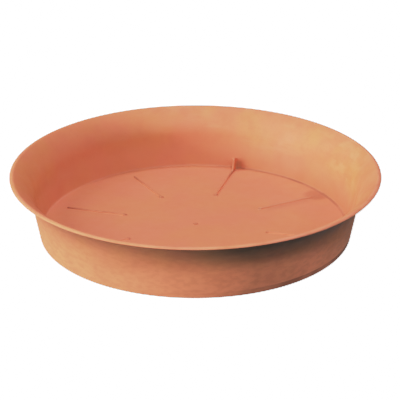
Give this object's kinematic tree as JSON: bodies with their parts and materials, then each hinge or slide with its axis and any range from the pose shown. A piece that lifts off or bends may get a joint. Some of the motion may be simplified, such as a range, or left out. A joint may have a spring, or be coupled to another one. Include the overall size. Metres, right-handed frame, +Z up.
{
  "type": "plant saucer",
  "caption": "Shallow round saucer that catches water under a plant pot: flat floor with low radial ribs, leaning wall and a wide flared rim with a rolled lip.",
  "frame": {"origin": "centre of the foot ring, on the surface that the saucer stands on", "axes": "+Z up along the saucer's axis; -Y towards the viewer of the picture, +X to the viewer's right"},
  "size_m": [0.3, 0.3, 0.0527],
  "materials": {
    "terracotta_plastic": "matte moulded plastic, terracotta colour, with a faint mottle"
  },
  "bodies": {
    "root": {"foot_ring": "terracotta_plastic", "floor_pan": "terracotta_plastic", "side_wall": "terracotta_plastic", "flared_rim": "terracotta_plastic", "rim_lip": "terracotta_plastic", "floor_rib_1": "terracotta_plastic", "floor_rib_2": "terracotta_plastic", "floor_rib_3": "terracotta_plastic", "floor_rib_4": "terracotta_plastic", "floor_rib_5": "terracotta_plastic", "floor_rib_6": "terracotta_plastic", "floor_rib_7": "terracotta_plastic", "floor_rib_8": "terracotta_plastic", "wall_gusset": "terracotta_plastic", "gate_nub": "terracotta_plastic"}
  },
  "joints": []
}
